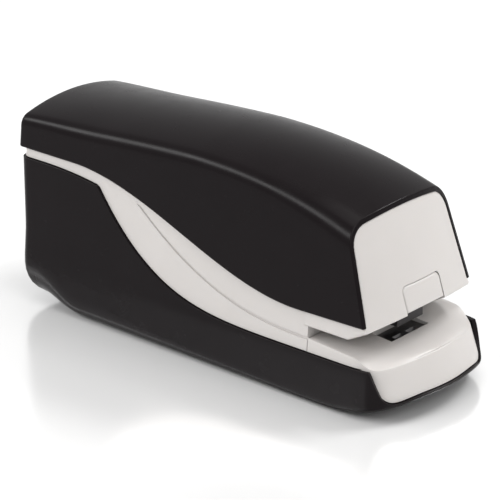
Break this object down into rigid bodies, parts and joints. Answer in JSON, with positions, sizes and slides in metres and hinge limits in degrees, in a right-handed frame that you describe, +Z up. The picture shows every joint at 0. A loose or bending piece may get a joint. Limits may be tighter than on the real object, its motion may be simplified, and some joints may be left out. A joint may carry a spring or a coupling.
{
  "type": "electric stapler",
  "caption": "Battery stapler with an arched black cover, white band and nose, paper throat, spring magazine drawer and geared staple drive.",
  "frame": {"origin": "on the table under the middle of the stapler's outline, at the bottom of its rubber feet", "axes": "+Z up, +X towards the stapling nose, +Y to the stapler's own left"},
  "size_m": [0.1794, 0.062, 0.0812],
  "materials": {
    "black_shell": "satin moulded ABS",
    "white_shell": "warm white moulded ABS, fine satin",
    "bright_steel": "zinc plated",
    "dark_steel": "hardened, dark oiled",
    "chrome": "nickel plated",
    "brass": "machined",
    "nylon": "natural nylon, greased",
    "acetal": "dark moulded acetal",
    "rubber": "matte",
    "board": "solder mask",
    "cell_skin": "printed shrink sleeve, plain"
  },
  "bodies": {
    "stapler_body": {"upper_cover": "black_shell", "main_housing": "white_shell", "lower_casing": "black_shell", "base_cover": "white_shell", "anvil_plate": "dark_steel", "foot_rear_left": "rubber", "foot_rear_right": "rubber", "foot_front_left": "rubber", "foot_front_right": "rubber", "screw_rear_left": "bright_steel", "screw_rear_right": "bright_steel", "screw_front_left": "bright_steel", "screw_front_right": "bright_steel", "frame_left": "bright_steel", "frame_right": "bright_steel", "gear_plate": "bright_steel", "frame_spacer_1": "bright_steel", "frame_spacer_2": "bright_steel", "frame_spacer_3": "bright_steel", "motor": "bright_steel", "idler_shaft_1": "bright_steel", "idler_shaft_2": "bright_steel", "lever_pivot_pin": "bright_steel", "lever_spring": "bright_steel", "trigger_pin": "bright_steel", "start_switch": "acetal", "home_switch": "acetal", "battery_holder": "acetal", "battery_cell_1": "cell_skin", "battery_cell_2": "cell_skin", "battery_cell_3": "cell_skin", "battery_cell_4": "cell_skin", "top_contact_left": "bright_steel", "top_contact_right": "bright_steel", "circuit_board": "board", "power_jack": "acetal"},
    "magazine": {"magazine_channel": "chrome", "guide_rod": "bright_steel", "staple_strip": "bright_steel", "pusher_spring": "bright_steel"},
    "pusher": {"staple_pusher": "acetal"},
    "button": {"release_button": "white_shell"},
    "cam_drive": {"cam_gear": "nylon", "snail_cam": "acetal", "cam_shaft": "bright_steel"},
    "idler_2": {"idler_gear_2": "nylon"},
    "idler_1": {"idler_gear_1": "nylon"},
    "rotor": {"motor_pinion": "brass"},
    "lever": {"drive_lever": "dark_steel"},
    "roller": {"cam_roller": "bright_steel"},
    "blade": {"driver_blade": "dark_steel"},
    "trigger": {"paper_trigger": "acetal"},
    "door": {"battery_door": "black_shell", "door_contact": "bright_steel"}
  },
  "joints": [
    {"name": "magazine_slide", "type": "slide", "parent": "stapler_body", "child": "magazine", "axis": [1, 0, 0], "range_m": [0, 0.09]},
    {"name": "pusher_slide", "type": "slide", "parent": "magazine", "child": "pusher", "axis": [1, 0, 0], "range_m": [-0.045, 0], "stiffness_N_per_m": 30, "springref_m": 0.04, "deforming": ["pusher_spring"]},
    {"name": "button_press", "type": "slide", "parent": "stapler_body", "child": "button", "axis": [-1, 0, 0], "range_m": [0, 0.0014], "stiffness_N_per_m": 300, "springref_m": -0.001},
    {"name": "cam_spin", "type": "hinge", "parent": "stapler_body", "child": "cam_drive", "pos_m": [0.002, 0, 0.056], "axis": [0, 1, 0], "range_deg": [0, 200]},
    {"name": "idler_2_spin", "type": "hinge", "parent": "stapler_body", "child": "idler_2", "pos_m": [-0.01555, 0, 0.05353], "axis": [0, 1, 0], "range_deg": [-680, 0]},
    {"name": "idler_1_spin", "type": "hinge", "parent": "stapler_body", "child": "idler_1", "pos_m": [-0.02959, 0, 0.06164], "axis": [0, 1, 0], "range_deg": [0, 2448]},
    {"name": "rotor_spin", "type": "hinge", "parent": "stapler_body", "child": "rotor", "pos_m": [-0.0364, 0, 0.04985], "axis": [0, 1, 0], "range_deg": [-10772, 0]},
    {"name": "lever_swing", "type": "hinge", "parent": "stapler_body", "child": "lever", "pos_m": [0.024, 0, 0.044], "axis": [0, 1, 0], "range_deg": [0, 13.31]},
    {"name": "roller_spin", "type": "hinge", "parent": "lever", "child": "roller", "pos_m": [0.01999, 0, 0.05897], "axis": [0, 1, 0], "continuous": true},
    {"name": "blade_drive", "type": "slide", "parent": "stapler_body", "child": "blade", "axis": [0, 0, -1], "range_m": [0, 0.01041]},
    {"name": "trigger_swing", "type": "hinge", "parent": "stapler_body", "child": "trigger", "pos_m": [0.052, 0.0145, 0.0325], "axis": [0, 1, 0], "range_deg": [0, 15], "stiffness_Nm_per_rad": 0.004, "springref_deg": -8.59},
    {"name": "door_hinge", "type": "hinge", "parent": "stapler_body", "child": "door", "pos_m": [-0.0508, 0, 0.001], "axis": [0, -1, 0], "range_deg": [0, 100]}
  ],
  "couplings": [
    {"joint": "idler_2_spin", "follows": "cam_spin", "ratio": -3.4},
    {"joint": "idler_1_spin", "follows": "cam_spin", "ratio": 12.24},
    {"joint": "rotor_spin", "follows": "cam_spin", "ratio": -53.856},
    {"joint": "lever_swing", "follows": "cam_spin", "ratio": 0.0665},
    {"joint": "blade_drive", "follows": "cam_spin", "m_per_rad": 0.0029794}
  ]
}
